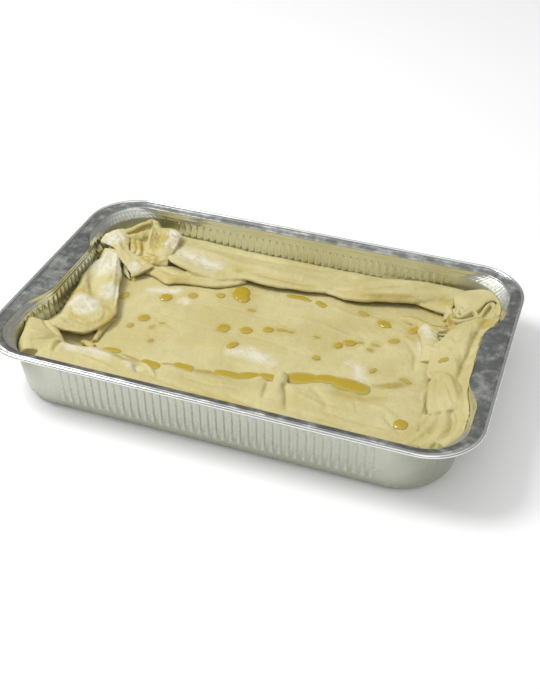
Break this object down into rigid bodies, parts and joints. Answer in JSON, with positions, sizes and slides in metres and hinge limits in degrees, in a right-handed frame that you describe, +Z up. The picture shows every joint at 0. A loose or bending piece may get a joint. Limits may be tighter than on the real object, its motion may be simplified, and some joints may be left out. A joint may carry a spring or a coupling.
{
  "type": "greens pie",
  "caption": "Unbaked greens pie with a folded, oiled and floured dough border, in its own rectangular foil tray with grips at the short ends.",
  "frame": {"origin": "centre of the tray's base, at the height that it rests on", "axes": "+Z up, +X along the long side, towards the grip beside the tall right-hand fold, +Y towards the long side with the doubled fold"},
  "size_m": [0.32, 0.208, 0.0444],
  "materials": {
    "foil": "satin",
    "top_sheet": "raw dough, oiled and floured",
    "folded_dough": "raw dough, oiled and floured"
  },
  "bodies": {
    "root": {"foil_tray": "foil", "filled_pie": "top_sheet", "folded_border": "folded_dough"}
  },
  "joints": []
}
